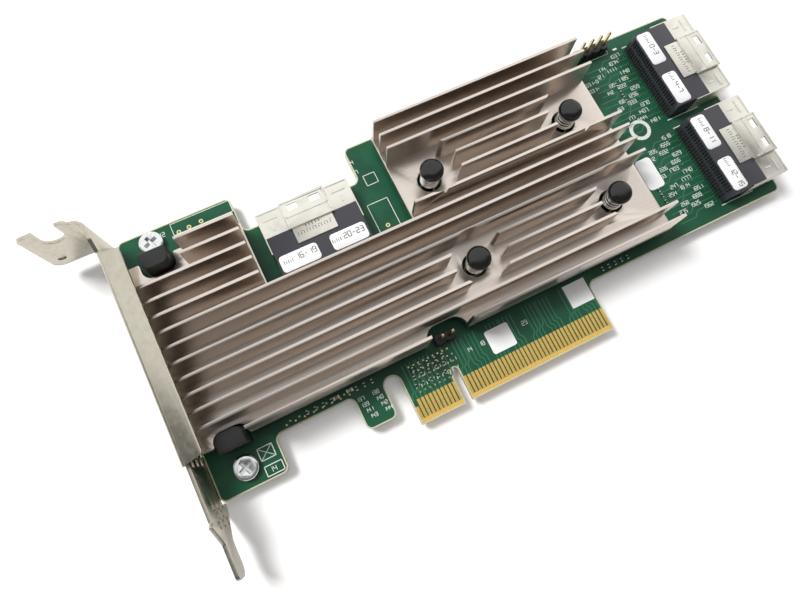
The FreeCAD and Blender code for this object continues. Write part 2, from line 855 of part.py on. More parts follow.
def capacitor_places():
    """Ceramic capacitors beside the controller and the sockets."""
    places = []
    for side in (-1, 1):
        offset = controller_size / 2 + 2.0
        for n in range(10):
            step = (n - 4.5) * 2.6
            places.append((controller_x + step, controller_y + side * offset, False))
            if abs(step) < 9:
                places.append((controller_x + side * offset, controller_y + step, True))
    places += [(x, y, True) for x, y in row(-27.0, 14.0, 2, 3.4, 0.2)]
    places += [(x, y, False) for x, y in row(-41.0, 57.6, 3, 2.4, 0)]
    return places


def resistor_places():
    """Chip resistors between the edge connector and the heat sink."""
    places = []
    for line in range(3):
        for x, y in row(-9.6 + 0.5 * line, 8.4 + 1.9 * line, 5, 1.9, 0):
            places.append((x, y))
    edge_row_y = body_bottom + 1.5
    beside_sockets = board_right - socket_body_end
    places += row(tongue_right + 4.9, edge_row_y, 5, 1.8, 0)
    places += row(second_lug_left + 1.6, edge_row_y, 3, 1.9, 0)
    places += row(bracket_lug_right + 8.4, edge_row_y, 4, 2.0, 0)
    places += row(sink_right + 4.7, lower_socket_y - 6.5, 4, 0, 1.7)
    places += row(beside_sockets - 7.8, upper_socket_y + 2.8, 4, 0, -1.8)
    return places


def solder_side_places():
    """Decoupling capacitors under the controller, on the solder side."""
    places = []
    for line in range(6):
        for x, y in row(controller_x - 8.0, controller_y - 6.5 + 2.6 * line, 7, 2.6, 0):
            places.append((x, y))
    return places


def blank_marker(x0, x1, y0, y1, radius):
    return rounded_box(x0, x1, y0, y1, 0, marker_thickness, radius)


# ---- write every piece ---------------------------------------------------
os.makedirs("parts", exist_ok=True)

write("circuit_board", [board()])
write("edge_contacts_top", edge_contacts(0, contact_thickness, 0))
write("edge_contacts_under", edge_contacts(board_under - contact_thickness, board_under,
                                           left_contact_count + right_contact_count - 1))
write("slot_bracket", [bracket()])
write("bracket_screws", [bracket_screw(x, y) for x, y in screw_places])
write("heat_sink", [heat_sink()])
write("push_pins", [push_pin(x, y) for x, y in pin_places])
write("pin_springs", [pin_spring(x, y) for x, y in pin_places])
write("support_block_lower", [support_block(screw_lower_y, 1)])
write("support_block_upper", [support_block(screw_upper_y, -1)])

lid_low = controller_substrate
lid_high = controller_substrate + controller_lid_height
write("controller_substrate", [square_part(controller_x, controller_y, controller_size, 0, lid_low, 0.5)])
write("controller_lid", [square_part(controller_x, controller_y, controller_lid_size,
                                     lid_low, lid_high, 1.0)])
write("controller_pad", [square_part(controller_x, controller_y, controller_lid_size,
                                     lid_high, sink_gap, 0.5)])
write("regulator_chips", [square_part(x, y, regulator_size, 0, regulator_height)
                          for x, y in REGULATORS])
write("regulator_pads", [regulator_pad(x, y) for x, y in REGULATORS])
write("power_inductors", [square_part(x, y, inductor_size, 0, inductor_height, 0.5)
                          for x, y in INDUCTORS])
write("memory_chips", [rounded_box(x - memory_length / 2, x + memory_length / 2,
                                   y - memory_width / 2, y + memory_width / 2,
                                   0, memory_height, 0.2) for x, y in MEMORIES])
write("chip_capacitors", [small_part(x, y, chip_length, chip_width, chip_height, along)
                          for x, y, along in capacitor_places()])
write("chip_resistors", [small_part(x, y, small_length, small_width, small_height, False)
                         for x, y in resistor_places()])
write("solder_side_capacitors", [small_part(x, y, small_length, small_width, small_height, True, True)
                                 for x, y in solder_side_places()])

for socket_name, spot in SOCKETS.items():
    write("socket_cage_" + socket_name, [place_socket(socket_cage(), spot)])
    write("socket_body_" + socket_name, [place_socket(socket_body(), spot)])
    write("socket_tails_" + socket_name, [place_socket(tail, spot) for tail in socket_tails()])
    write("port_labels_" + socket_name, [place_socket(label, spot) for label in socket_labels()])

write("four_pin_header_body", [header_body(four_pin_x, four_pin_y, 4)])
write("four_pin_header_pins", header_pins(four_pin_x, four_pin_y, 4))
write("two_pin_header_body", [header_body(two_pin_x, two_pin_y, 2)])
write("two_pin_header_pins", header_pins(two_pin_x, two_pin_y, 2))

write("blank_labels", [
    blank_marker(10.2, 16.4, 6.9, 12.7, 0.6),
    blank_marker(32.6, 38.6, 8.4, 14.2, 0.1),
    blank_marker(66.0, 70.6, 26.2, 34.8, 1.0),
])
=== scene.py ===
import bmesh
import bpy
import math
from mathutils import Matrix, Vector


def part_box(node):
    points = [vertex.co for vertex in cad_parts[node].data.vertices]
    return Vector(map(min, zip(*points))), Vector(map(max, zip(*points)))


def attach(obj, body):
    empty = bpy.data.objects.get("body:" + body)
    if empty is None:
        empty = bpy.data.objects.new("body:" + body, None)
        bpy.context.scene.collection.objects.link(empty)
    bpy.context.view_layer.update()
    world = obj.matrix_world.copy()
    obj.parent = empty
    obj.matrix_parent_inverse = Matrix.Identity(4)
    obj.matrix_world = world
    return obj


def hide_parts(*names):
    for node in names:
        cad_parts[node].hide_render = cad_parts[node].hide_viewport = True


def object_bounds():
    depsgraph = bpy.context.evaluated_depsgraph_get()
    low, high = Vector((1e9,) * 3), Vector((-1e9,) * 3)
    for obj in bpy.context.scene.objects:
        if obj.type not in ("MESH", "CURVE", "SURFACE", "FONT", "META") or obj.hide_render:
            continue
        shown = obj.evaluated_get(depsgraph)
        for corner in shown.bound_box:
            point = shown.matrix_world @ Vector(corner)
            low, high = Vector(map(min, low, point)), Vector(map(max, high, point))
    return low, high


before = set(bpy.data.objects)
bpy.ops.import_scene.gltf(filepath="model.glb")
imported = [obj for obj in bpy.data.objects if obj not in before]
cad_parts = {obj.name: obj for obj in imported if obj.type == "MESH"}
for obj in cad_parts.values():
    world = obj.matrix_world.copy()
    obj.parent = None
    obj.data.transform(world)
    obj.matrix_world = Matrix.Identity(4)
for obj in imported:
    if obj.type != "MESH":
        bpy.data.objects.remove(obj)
cad_box = [list(corner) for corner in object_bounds()]

# Everything is in metres, in the card's own frame. Sizes are given in
# millimetres and turned into metres by MM.
MM = 0.001
SAME_POINT = 1e-6                 # points closer than this are one, in metres
FLAT_ANGLE = math.radians(1)      # faces closer than this are one flat face
SHARP_ANGLE = math.radians(30)    # edges sharper than this are broken
BODY = "root"

# ---- camera and light ----------------------------------------------------
CAMERA_PLACE = Vector((-25.5, 1.95, 136.8)) * MM
CAMERA_TARGET = Vector((-3.96, 28.21, 0.0)) * MM
IMAGE_UP = Vector((0.418, 0.878, 0.234))
FOCAL_LENGTH = 26.87
SENSOR_WIDTH = 36.0
NEAREST_SEEN = 0.005
# world strengths: towards the viewer's side, towards the far edge, and for
# the soft fill that reaches matt surfaces
DIM_SIDE = 0.06
BRIGHT_SIDE = 1.25
FILL = 0.2
LEAN = (-0.15, 0.22)              # where the dim side ends and the bright starts
KEY_PLACE = Vector((-0.36, 0.42, 0.78))
KEY_SIZE = 0.28
KEY_POWER = 8.8
OVERHEAD_PLACE = Vector((0.1, 0.15, 0.9))
OVERHEAD_SIZE = 0.7
OVERHEAD_POWER = 1.6
LAMP_TARGET = Vector((0.02, 0.03, 0))
FLOOR_REACH = 3.0
FLOOR_COLOUR = (0.90, 0.885, 0.88, 1)
# the floor's own light: from this distance to that one, from this to that level
FLOOR_GLOW = (0.1, 0.5, 0.14, 1.0)


# the board's component side and solder side, in metres
BOARD_LOW, BOARD_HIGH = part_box("circuit_board")
BOARD_FACE = BOARD_HIGH.z
BOARD_BACK = BOARD_LOW.z


# ---- small helpers -------------------------------------------------------
def new_object(name, mesh, material, smooth=False):
    """Shows a mesh in the scene with one material."""
    piece = bpy.data.objects.new(name, mesh)
    bpy.context.scene.collection.objects.link(piece)
    mesh.materials.append(material)
    if smooth:
        for polygon in mesh.polygons:
            polygon.use_smooth = True
    return piece


def mesh_from(name, build):
    """A mesh with the faces that build(bm) makes."""
    bm = bmesh.new()
    build(bm)
    mesh = bpy.data.meshes.new(name)
    bm.to_mesh(mesh)
    bm.free()
    return mesh


def keep(piece):
    """Puts a new piece on the card's body."""
    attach(piece, BODY)
    return piece


def add_box(bm, low, high, material):
    """A plain box between two corners, with one of the mesh's materials."""
    (x0, y0, z0), (x1, y1, z1) = low, high
    corners = [(x0, y0, z0), (x1, y0, z0), (x1, y1, z0), (x0, y1, z0),
               (x0, y0, z1), (x1, y0, z1), (x1, y1, z1), (x0, y1, z1)]
    verts = [bm.verts.new(corner) for corner in corners]
    faces = ((0, 3, 2, 1), (4, 5, 6, 7), (0, 1, 5, 4), (1, 2, 6, 5), (2, 3, 7, 6), (3, 0, 4, 7))
    for indices in faces:
        bm.faces.new([verts[i] for i in indices]).material_index = material


def add_flat_ring(bm, x, y, z, radius, inner, sides):
    """A flat ring that faces up; x, y and the radii are in millimetres."""
    outer = []
    inside = []
    for step in range(sides):
        turn = 2 * math.pi * step / sides
        across, along = math.cos(turn), math.sin(turn)
        outer.append(bm.verts.new(((x + radius * across) * MM, (y + radius * along) * MM, z)))
        inside.append(bm.verts.new(((x + inner * across) * MM, (y + inner * along) * MM, z)))
    for step in range(sides):
        after = (step + 1) % sides
        bm.faces.new([inside[step], outer[step], outer[after], inside[after]])


def add_turned(bm, centre, profile, sides=48):
    """A surface of revolution about a vertical axis through centre.

    profile is a list of (radius, height) from the bottom to the top; a radius
    of zero closes that end.
    """
    rings = []
    for radius, height in profile:
        if radius == 0:
            rings.append([bm.verts.new((centre.x, centre.y, height))])
            continue
        ring = []
        for step in range(sides):
            turn = 2 * math.pi * step / sides
            ring.append(bm.verts.new((centre.x + radius * math.cos(turn),
                                      centre.y + radius * math.sin(turn), height)))
        rings.append(ring)
    for low, high in zip(rings, rings[1:]):
        for step in range(sides):
            after = (step + 1) % sides
            if len(low) == 1:
                corners = [low[0], high[after], high[step]]
            elif len(high) == 1:
                corners = [low[step], low[after], high[0]]
            else:
                corners = [low[step], low[after], high[after], high[step]]
            bm.faces.new(corners).smooth = True


def add_tube(bm, points, radius, sides=10):
    """A round tube along a list of points."""
    rings = []
    for index, point in enumerate(points):
        before = points[max(index - 1, 0)]
        after = points[min(index + 1, len(points) - 1)]
        along = (after - before).normalized()
        side = along.cross(Vector((0, 0, 1)))
        side = side.normalized() if side.length > SAME_POINT else Vector((1, 0, 0))
        up = side.cross(along)
        ring = []
        for step in range(sides):
            turn = 2 * math.pi * step / sides
            ring.append(bm.verts.new(point + (side * math.cos(turn) + up * math.sin(turn)) * radius))
        rings.append(ring)
    for low, high in zip(rings, rings[1:]):
        for step in range(sides):
            after = (step + 1) % sides
            bm.faces.new([low[step], low[after], high[after], high[step]]).smooth = True
    bm.faces.new(rings[0][::-1])
    bm.faces.new(rings[-1])


def islands(name):
    """(low, high) corners of each separate solid in a CAD node."""
    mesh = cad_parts[name].data
    bm = bmesh.new()
    bm.from_mesh(mesh)
    bmesh.ops.remove_doubles(bm, verts=bm.verts, dist=SAME_POINT)
    seen = set()
    boxes = []
    for start in bm.verts:
        if start in seen:
            continue
        seen.add(start)
        stack = [start]
        members = []
        while stack:
            vert = stack.pop()
            members.append(vert.co.copy())
            for edge in vert.link_edges:
                other = edge.other_vert(vert)
                if other not in seen:
                    seen.add(other)
                    stack.append(other)
        low = Vector([min(co[axis] for co in members) for axis in range(3)])
        high = Vector([max(co[axis] for co in members) for axis in range(3)])
        boxes.append((low, high))
    bm.free()
    boxes.sort(key=lambda pair: (round(pair[0].x, 5), round(pair[0].y, 5)))
    return boxes


def softened(node, material, width, segments):
    """A copy of a CAD node with its sharp edges broken, shown in its place.

    width is the broken edge's width in millimetres.
    """
    bm = bmesh.new()
    bm.from_mesh(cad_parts[node].data)
    bmesh.ops.remove_doubles(bm, verts=bm.verts, dist=SAME_POINT)
    bmesh.ops.dissolve_limit(bm, angle_limit=FLAT_ANGLE, verts=bm.verts, edges=bm.edges)
    mesh = bpy.data.meshes.new(node + "_finish")
    bm.to_mesh(mesh)
    bm.free()
    mesh.materials.clear()
    piece = new_object(node + "_finish", mesh, material, smooth=True)
    bevel = piece.modifiers.new("edges", "BEVEL")
    bevel.width = width * MM
    bevel.segments = segments
    bevel.limit_method = "ANGLE"
    bevel.angle_limit = SHARP_ANGLE
    bevel.harden_normals = True
    keep(piece)
    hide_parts(node)
    return piece


# ---- materials -----------------------------------------------------------
NOISE_ROUGHNESS = 0.55


class Finish:
    """Builds one node material; positions reach it in millimetres."""

    def __init__(self, name, colour, metallic=0.0, roughness=0.5):
        self.material = bpy.data.materials.new(name)
        self.material.use_nodes = True
        self.nodes = self.material.node_tree.nodes
        self.links = self.material.node_tree.links
        self.shader = self.nodes["Principled BSDF"]
        self.shader.inputs["Base Color"].default_value = (*colour, 1)
        self.shader.inputs["Metallic"].default_value = metallic
        self.shader.inputs["Roughness"].default_value = roughness
        coordinates = self.nodes.new("ShaderNodeTexCoord")
        self.place = self.scaled(coordinates.outputs["Object"], (1000, 1000, 1000))

    def scaled(self, vector, scale):
        mapping = self.nodes.new("ShaderNodeMapping")
        self.links.new(vector, mapping.inputs["Vector"])
        mapping.inputs["Scale"].default_value = scale
        return mapping.outputs["Vector"]

    def put(self, socket, value):
        if hasattr(value, "links"):
            self.links.new(value, socket)
        elif isinstance(value, tuple) and len(value) == 3 and len(socket.default_value) == 4:
            socket.default_value = (*value, 1)
        else:
            socket.default_value = value

    def noise(self, scale, stretch=(1, 1, 1), detail=4.0):
        node = self.nodes.new("ShaderNodeTexNoise")
        self.put(node.inputs["Vector"], self.scaled(self.place, stretch))
        node.inputs["Scale"].default_value = scale
        node.inputs["Detail"].default_value = detail
        node.inputs["Roughness"].default_value = NOISE_ROUGHNESS
        return node.outputs["Fac"]

    def between(self, value, low, high, out_low=0.0, out_high=1.0):
        node = self.nodes.new("ShaderNodeMapRange")
        self.put(node.inputs["Value"], value)
        node.inputs["From Min"].default_value = low
        node.inputs["From Max"].default_value = high
        node.inputs["To Min"].default_value = out_low
        node.inputs["To Max"].default_value = out_high
        return node.outputs["Result"]

    def sum(self, operation, first, second):
        node = self.nodes.new("ShaderNodeMath")
        node.operation = operation
        self.put(node.inputs[0], first)
        self.put(node.inputs[1], second)
        return node.outputs[0]

    def mix(self, amount, first, second):
        node = self.nodes.new("ShaderNodeMix")
        node.data_type = "RGBA"
        self.put(node.inputs[0], amount)
        self.put(node.inputs[6], first)
        self.put(node.inputs[7], second)
        return node.outputs[2]

    def axis(self, index, source=None):
        node = self.nodes.new("ShaderNodeSeparateXYZ")
        self.put(node.inputs[0], source if source is not None else self.place)
        return node.outputs[index]

    def normal_axis(self, index):
        geometry = self.nodes.new("ShaderNodeNewGeometry")
        return self.axis(index, geometry.outputs["Normal"])

    def colour(self, value):
        self.put(self.shader.inputs["Base Color"], value)

    def roughness(self, value):
        self.put(self.shader.inputs["Roughness"], value)

    def bump(self, height, strength, distance):
        node = self.nodes.new("ShaderNodeBump")
        node.inputs["Strength"].default_value = strength
        node.inputs["Distance"].default_value = distance * MM
        self.put(node.inputs["Height"], height)
        self.put(self.shader.inputs["Normal"], node.outputs["Normal"])

    def shine(self, level):
        self.shader.inputs["Specular IOR Level"].default_value = level


def board_finish():
    """Green solder mask with a faint copper pattern; cut edges show laminate."""
    f = Finish("solder_mask", (0.016, 0.11, 0.052), 0.0, 0.32)
    pour = f.between(f.noise(0.09, detail=2.0), 0.42, 0.58)
    green = f.mix(pour, (0.008, 0.062, 0.031), (0.012, 0.086, 0.042))
    mottle = f.noise(1.6, detail=6.0)
    green = f.mix(f.between(mottle, 0.35, 0.7, 0.0, 0.35), green, (0.011, 0.07, 0.035))
    weave = f.sum("ADD", f.noise(2.2, (1, 12, 1)), f.noise(2.2, (12, 1, 1)))
    cream = f.mix(f.between(weave, 0.8, 1.2), (0.50, 0.47, 0.27), (0.66, 0.63, 0.42))
    side = f.between(f.sum("ABSOLUTE", f.normal_axis(2), 0.0), 0.35, 0.25)
    painted = f.mix(side, green, cream)
    # the contact edge below the gold strips, up to 1.3 mm from the edge
    bevel_top = f.between(f.axis(1), 1.32, 1.28)
    streaks = f.between(f.noise(1.2, (8, 0.5, 1)), 0.3, 0.7)
    gold = f.mix(streaks, (0.72, 0.44, 0.09), (0.86, 0.60, 0.19))
    f.colour(f.mix(bevel_top, painted, gold))
    f.roughness(f.between(f.noise(0.8), 0.3, 0.7, 0.34, 0.48))
    f.bump(f.sum("ADD", mottle, f.sum("MULTIPLY", pour, 1.5)), 0.25, 0.02)
    f.shine(0.3)
    return f.material


def gold_finish():
    """Hard gold over nickel, brushed along the strips."""
    f = Finish("contact_gold", (0.86, 0.55, 0.13), 1.0, 0.3)
    streaks = f.noise(2.0, (14, 0.6, 1))
    f.colour(f.mix(f.between(streaks, 0.3, 0.7), (0.93, 0.57, 0.12), (1.0, 0.74, 0.26)))
    f.roughness(f.between(f.noise(3.0), 0.3, 0.7, 0.24, 0.42))
    f.bump(streaks, 0.15, 0.02)
    return f.material


def anodised_finish():
    """Champagne anodised aluminium: extruded along X, with a fine blast grain."""
    f = Finish("champagne_anodise", (0.66, 0.59, 0.53), 1.0, 0.34)
    draw = f.noise(1.6, (0.03, 2.2, 2.2), detail=5.0)
    grain = f.noise(9.0, detail=3.0)
    cloud = f.noise(0.05, detail=3.0)
    tone = f.mix(f.between(draw, 0.3, 0.7), (0.65, 0.58, 0.52), (0.73, 0.655, 0.595))
    f.colour(f.mix(f.between(cloud, 0.35, 0.65, 0.0, 0.3), tone, (0.67, 0.60, 0.54)))
    f.roughness(f.between(grain, 0.3, 0.7, 0.24, 0.34))
    f.bump(f.sum("ADD", grain, f.sum("MULTIPLY", draw, 0.4)), 0.12, 0.02)
    return f.material


def bracket_finish():
    """Satin nickel over sheet steel, a little mottled and warm."""
    f = Finish("satin_nickel", (0.58, 0.54, 0.44), 1.0, 0.34)
    mottle = f.noise(0.8, detail=5.0)
    rolled = f.noise(2.5, (1, 0.06, 1))
    tone = f.mix(f.between(mottle, 0.3, 0.7), (0.47, 0.44, 0.365), (0.57, 0.535, 0.45))
    f.colour(tone)
    f.roughness(f.between(f.sum("ADD", mottle, rolled), 0.7, 1.3, 0.26, 0.44))
    f.bump(f.sum("ADD", mottle, rolled), 0.12, 0.03)
    return f.material


def bright_metal(name, colour, roughness, scale=4.0, dulled=0.82):
    """Plated metal with a cloudy wear, darkened to a share of its colour."""
    f = Finish(name, colour, 1.0, roughness)
    wear = f.noise(scale, detail=5.0)
    dark = tuple(channel * dulled for channel in colour)
    f.colour(f.mix(f.between(wear, 0.35, 0.65), dark, colour))
    f.roughness(f.between(wear, 0.3, 0.7, roughness * 0.75, roughness * 1.3))
    f.bump(wear, 0.1, 0.01)
    return f.material


def plastic(name, colour, roughness, grain=6.0, strength=0.15, lift=1.25):
    """Moulding, ceramic, paper or ink with a fine grain, lit up by lift."""
    f = Finish(name, colour, 0.0, roughness)
    texture = f.noise(grain, detail=4.0)
    light = tuple(channel * lift for channel in colour)
    f.colour(f.mix(f.between(texture, 0.35, 0.65), colour, light))
    f.roughness(f.between(texture, 0.3, 0.7, roughness * 0.88, roughness * 1.12))
    f.bump(texture, strength, 0.02)
    return f.material


BOARD = board_finish()
GOLD = gold_finish()
ANODISED = anodised_finish()
NICKEL = bracket_finish()
ZINC = bright_metal("bright_zinc", (0.80, 0.81, 0.82), 0.2)
SPRING = bright_metal("spring_wire", (0.84, 0.83, 0.81), 0.16, 8.0)
CAGE = bright_metal("cage_tin", (0.84, 0.82, 0.74), 0.4, 0.7, 0.94)
TIN = bright_metal("solder_tin", (0.72, 0.72, 0.70), 0.3, 6.0)
HEADER_GOLD = bright_metal("header_gold", (0.80, 0.68, 0.36), 0.26, 4.0)
LID = bright_metal("chip_lid", (0.62, 0.62, 0.60), 0.42, 2.0)
PIN_BLACK = plastic("pin_nylon", (0.006, 0.006, 0.006), 0.14, 3.0, 0.04)
BLOCK_BLACK = plastic("block_black", (0.012, 0.012, 0.013), 0.5, 5.0, 0.25)
SOCKET_BLACK = plastic("socket_black", (0.036, 0.036, 0.044), 0.46, 7.0, 0.1)
HEADER_BLACK = plastic("header_black", (0.014, 0.014, 0.015), 0.4, 6.0, 0.15)
CHIP_BLACK = plastic("chip_black", (0.018, 0.018, 0.02), 0.55, 9.0, 0.2)
FERRITE = plastic("ferrite_grey", (0.09, 0.09, 0.09), 0.6, 8.0, 0.3)
SUBSTRATE = plastic("chip_substrate", (0.02, 0.10, 0.05), 0.35, 4.0, 0.1)
PAD = plastic("thermal_pad", (0.30, 0.34, 0.38), 0.8, 5.0, 0.3)
CERAMIC = plastic("capacitor_body", (0.36, 0.24, 0.13), 0.45, 10.0, 0.2)
RESISTOR = plastic("resistor_body", (0.016, 0.016, 0.018), 0.3, 10.0, 0.1)
PAPER = plastic("label_paper", (0.90, 0.90, 0.90), 0.55, 3.0, 0.05, 1.02)
PRINT_WHITE = plastic("print_white", (0.72, 0.76, 0.70), 0.6, 6.0, 0.1, 1.08)
PRINT_GREY = plastic("print_grey", (0.10, 0.10, 0.11), 0.6, 6.0, 0.1)
TRACE = plastic("covered_trace", (0.026, 0.150, 0.076), 0.34, 2.0, 0.05, 1.1)
RIM = plastic("mask_rim", (0.50, 0.50, 0.34), 0.5, 4.0, 0.1, 1.2)


def paint(node, material):
    """Gives a CAD node that stays as it is its own finish."""
    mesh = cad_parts[node].data
    mesh.materials.clear()
    mesh.materials.append(material)


# ---- board and its plating -----------------------------------------------
def dress_board():
    paint("circuit_board", BOARD)
    paint("edge_contacts_top", GOLD)
    paint("edge_contacts_under", GOLD)
    for name in ("socket_tails_top", "socket_tails_upper", "socket_tails_lower"):
        paint(name, TIN)
    paint("blank_labels", PAPER)
    board_rim()
    legends()
    copper()


def board_rim():
    """Bare laminate along the board's outline, where the solder mask stops."""
    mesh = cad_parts["circuit_board"].data
    source = bmesh.new()
    source.from_mesh(mesh)
    bmesh.ops.remove_doubles(source, verts=source.verts, dist=SAME_POINT)
    width = 0.3 * MM
    lift = 0.012 * MM
    upright = 0.3        # a side face's normal rises less than this
    level = 0.9          # and a flat face's more than this

    def strips(bm):
        for face_z, up in ((BOARD_FACE, 1), (BOARD_BACK, -1)):
            outward = {}
            edges = []
            for edge in source.edges:
                sides = [face for face in edge.link_faces if abs(face.normal.z) < upright]
                flats = [face for face in edge.link_faces if face.normal.z * up > level]
                if len(sides) != 1 or len(flats) != 1:
                    continue
                edges.append(edge)
                for vert in edge.verts:
                    outward.setdefault(vert, []).append(sides[0].normal)
            for edge in edges:
                ring = []
                for vert in edge.verts:
                    normals = outward[vert]
                    mean = sum(normals, Vector()).normalized()
                    reach = width / max(mean.dot(normals[0]), 0.5)
                    ring.append((vert.co, vert.co - mean * reach))
                z = face_z + up * lift
                corners = [ring[0][0], ring[1][0], ring[1][1], ring[0][1]]
                verts = [bm.verts.new((co.x, co.y, z)) for co in corners]
                face = bm.faces.new(verts)
                face.normal_update()
                if face.normal.z * up < 0:
                    face.normal_flip()

    piece = new_object("board_rim", mesh_from("board_rim", strips), RIM)
    source.free()
    keep(piece)


PEN = 0.14               # usual width of a printed stroke, in millimetres


class Print:
    """Collects thin printed strokes; places and widths are in millimetres.

    height is the printed face's own, in metres.
    """

    def __init__(self, height, thickness=0.025):
        self.bm = bmesh.new()
        self.low = height
        self.high = height + thickness * MM

    def stroke(self, x0, y0, x1, y1, width=PEN):
        start = Vector((x0, y0, 0)) * MM
        end = Vector((x1, y1, 0)) * MM
        along = (end - start).normalized()
        side = Vector((-along.y, along.x, 0)) * width * MM / 2
        corners = [start - side, end - side, end + side, start + side]
        lower = [self.bm.verts.new((co.x, co.y, self.low)) for co in corners]
        upper = [self.bm.verts.new((co.x, co.y, self.high)) for co in corners]
        self.bm.faces.new(upper)
        self.bm.faces.new(lower[::-1])
        for step in range(4):
            after = (step + 1) % 4
            self.bm.faces.new([lower[step], lower[after], upper[after], upper[step]])

    def outline(self, x0, y0, x1, y1, width=PEN):
        self.stroke(x0, y0, x1, y0, width)
        self.stroke(x1, y0, x1, y1, width)
        self.stroke(x1, y1, x0, y1, width)
        self.stroke(x0, y1, x0, y0, width)

    def ring(self, x, y, radius, width, sides=24):
        turns = [2 * math.pi * step / sides for step in range(sides + 1)]
        for first, second in zip(turns, turns[1:]):
            self.stroke(x + radius * math.cos(first), y + radius * math.sin(first),
                        x + radius * math.cos(second), y + radius * math.sin(second), width)

    def figures(self, text, x, y, height, turn=0.0, width=0.13):
        """Plain numerals and dashes of up to seven strokes, from x, y on."""
        advance = height * 0.82
        breadth = height * 0.55
        cosine = math.cos(math.radians(turn))
        sine = math.sin(math.radians(turn))
        for number, sign in enumerate(text):
            for segment in FIGURES[sign]:
                (u0, v0), (u1, v1) = SEGMENTS[segment]
                points = []
                for u, v in ((u0, v0), (u1, v1)):
                    across = u * breadth + number * advance
                    rise = v * height
                    points += [x + across * cosine - rise * sine, y + across * sine + rise * cosine]
                self.stroke(*points, width)

    def done(self, name, material):
        mesh = bpy.data.meshes.new(name)
        self.bm.to_mesh(mesh)
        self.bm.free()
        return keep(new_object(name, mesh, material))


# the seven strokes of a numeral, in a box one unit wide and one high
SEGMENTS = {
    "top": ((0, 1), (1, 1)), "middle": ((0, 0.5), (1, 0.5)), "foot": ((0, 0), (1, 0)),
    "upper_left": ((0, 0.5), (0, 1)), "upper_right": ((1, 0.5), (1, 1)),
    "lower_left": ((0, 0), (0, 0.5)), "lower_right": ((1, 0), (1, 0.5)),
}
FIGURES = {
    "0": ("top", "foot", "upper_left", "upper_right", "lower_left", "lower_right"),
    "1": ("upper_right", "lower_right"),
    "2": ("top", "middle", "foot", "upper_right", "lower_left"),
    "3": ("top", "middle", "foot", "upper_right", "lower_right"),
    "4": ("middle", "upper_left", "upper_right", "lower_right"),
    "5": ("top", "middle", "foot", "upper_left", "lower_right"),
    "6": ("top", "middle", "foot", "upper_left", "lower_left", "lower_right"),
    "7": ("top", "upper_right", "lower_right"),
    "8": ("top", "middle", "foot", "upper_left", "upper_right", "lower_left", "lower_right"),
    "9": ("top", "middle", "foot", "upper_left", "upper_right", "lower_right"),
    "-": ("middle",),
}


def in_mm(name):
    """Low and high corners of a CAD node, in millimetres."""
    low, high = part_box(name)
    return Vector(low) / MM, Vector(high) / MM


def socket_numbers(ink):
    """Staggered part numbers and two guide lines by the two end sockets."""
    rows = 13
    count = 1
    for name in ("upper", "lower"):
        low, high = in_mm("socket_body_" + name)
        for line in range(rows):
            x = low.x - 5.2 - 1.5 * (line % 3)
            y = high.y - 1.2 - line * (high.y - low.y) / rows
            ink.figures("%d" % (1000 + 37 * count), x, y, 1.0)
            if line % 3:
                ink.figures("%d" % (100 + 7 * count), x - 3.4, y - 0.5, 0.95)
            count += 1
        for y in (high.y + 0.55, low.y - 0.55):
            ink.stroke(low.x - 0.5, y, high.x - 0.4, y, 0.22)
    return count


def contact_numbers(ink):
    """Numbers and short marks above the contact strips."""
    low, high = in_mm("edge_contacts_top")
    for text, from_left in (("14", 16.45), ("18", 19.85), ("29", 31.35)):
        ink.figures(text, low.x + from_left, high.y + 4.4, 1.0)
    mark = 0.7
    for step in range(9):
        x = low.x + 2.2 + step * 1.35
        ink.stroke(x, high.y + 2.0, x, high.y + 2.0 + mark)
        ink.stroke(x + 0.5, high.y + 4.2, x + 0.5, high.y + 4.2 + mark)


def bracket_side_marks(ink):
    """Outlines of a header and of two parts at the board's bracket end."""
    low, high = in_mm("circuit_board")
    x, y = low.x + 13.0, high.y - 3.6
    ink.outline(x, y, x + 14.8, y + 3.0)
    ink.figures("12", x - 3.4, y + 0.8, 1.1)
    x, y = low.x + 11.0, low.y + 8.6
    ink.outline(x, y, x + 3.4, y + 2.8, 0.2)
    ink.stroke(x, y, x + 3.4, y + 2.8)
    ink.stroke(x, y + 2.8, x + 3.4, y)
    ink.outline(x, y - 3.6, x + 4.0, y - 1.4, 0.2)
    ink.figures("14", x + 0.9, y - 3.05, 1.1)


def third_socket_marks(ink):
    """Outlines and numbers on the board to the right of the third socket."""
    low, high = in_mm("socket_cage_top")
    x, y = high.x, low.y
    right = x + 7.95
    ink.outline(x + 2.55, y - 3.8, right, y + 3.9, 0.16)
    ink.outline(x + 4.95, y + 8.6, right, y + 11.4, 0.16)
    ink.figures("17", x + 2.95, y + 12.6, 1.0)
    ink.figures("24", x + 2.95, y + 15.4, 1.0)


def sink_end_marks(ink):
    """Reference marks and an arrow by the fins' right ends."""
    low, high = in_mm("heat_sink")
    board_high = in_mm("circuit_board")[1]
    for text, below in (("-0031-0", 10.3), ("-0031-", 12.3)):
        ink.figures(text, high.x + 1.2, board_high.y - below, 0.95)
    x, y = high.x + 2.4, low.y + 7.4
    ink.stroke(x - 2.8, y - 2.4, x, y)
    ink.stroke(x, y, x - 1.0, y - 0.2)
    ink.stroke(x, y, x - 0.2, y - 1.0)


